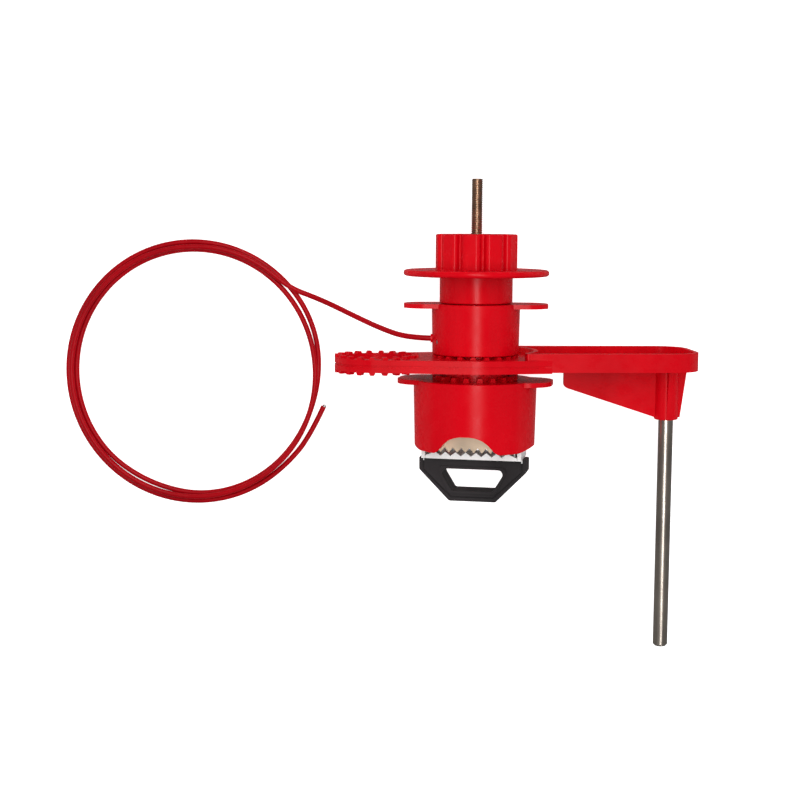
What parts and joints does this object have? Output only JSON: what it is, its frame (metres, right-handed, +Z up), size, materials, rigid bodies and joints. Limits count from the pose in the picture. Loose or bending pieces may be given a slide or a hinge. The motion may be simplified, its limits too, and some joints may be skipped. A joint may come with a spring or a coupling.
{
  "type": "valve lockout clamp",
  "caption": "Valve lockout with a screw clamp for levers, a toothed swing arm with a steel blocking rod, a hand knob and a coiled coated cable.",
  "frame": {"origin": "on the bench, under the middle of the clamp as it lies on its side (the cable left out)", "axes": "+Y along the spindle towards the knob and the screw's end, +X towards the blocking rod, +Z up from the bench"},
  "size_m": [0.359, 0.2578, 0.0786],
  "materials": {
    "red_moulding": "moulded nylon, semi-gloss",
    "red_knob": "moulded nylon, semi-gloss",
    "black_handle": "dark grey, fine grain",
    "zinc_steel": "zinc plated, bright",
    "rod_steel": "drawn bar, satin",
    "screw_steel": "yellow-brown passivated thread",
    "jaw_steel": "bright stamped steel",
    "fixed_jaw_steel": "yellow passivated stamping",
    "cable_coat": "smooth vinyl over wire rope"
  },
  "bodies": {
    "clamp": {"clamp_body": "red_moulding", "fixed_jaw_front": "fixed_jaw_steel", "fixed_jaw_rear": "fixed_jaw_steel", "fixed_jaw_screws": "zinc_steel"},
    "sleeve": {"sleeve": "red_moulding", "sleeve_pin": "zinc_steel", "cable_ferrule": "red_moulding", "cable_lead": "cable_coat", "cable_coil": "cable_coat", "cable_core": "zinc_steel"},
    "arm": {"blocking_arm": "red_moulding", "blocking_rod": "rod_steel", "rod_screw": "zinc_steel", "rod_washer": "zinc_steel"},
    "knob": {"knob": "red_knob", "knob_nut": "zinc_steel", "thrust_washer": "zinc_steel"},
    "jaw": {"threaded_rod": "screw_steel", "yoke_nut": "zinc_steel", "jaw_frame": "jaw_steel", "moving_jaw": "jaw_steel", "handle_screws": "zinc_steel", "jaw_handle": "black_handle"}
  },
  "joints": [
    {"name": "sleeve_slide", "type": "slide", "parent": "clamp", "child": "sleeve", "axis": [0, 1, 0], "range_m": [-0.0028, 0]},
    {"name": "arm_swing", "type": "hinge", "parent": "sleeve", "child": "arm", "pos_m": [-0.02191, 0.0297, 0.0393], "axis": [0, 1, 0], "range_deg": [-180, 90]},
    {"name": "knob_spin", "type": "hinge", "parent": "sleeve", "child": "knob", "pos_m": [-0.02191, 0.071, 0.0393], "axis": [0, 1, 0], "range_deg": [0, 9005]},
    {"name": "jaw_slide", "type": "slide", "parent": "sleeve", "child": "jaw", "axis": [0, 1, 0], "range_m": [-0.025, 0]}
  ],
  "couplings": [
    {"joint": "knob_spin", "follows": "jaw_slide", "rad_per_m": -6283.2}
  ]
}
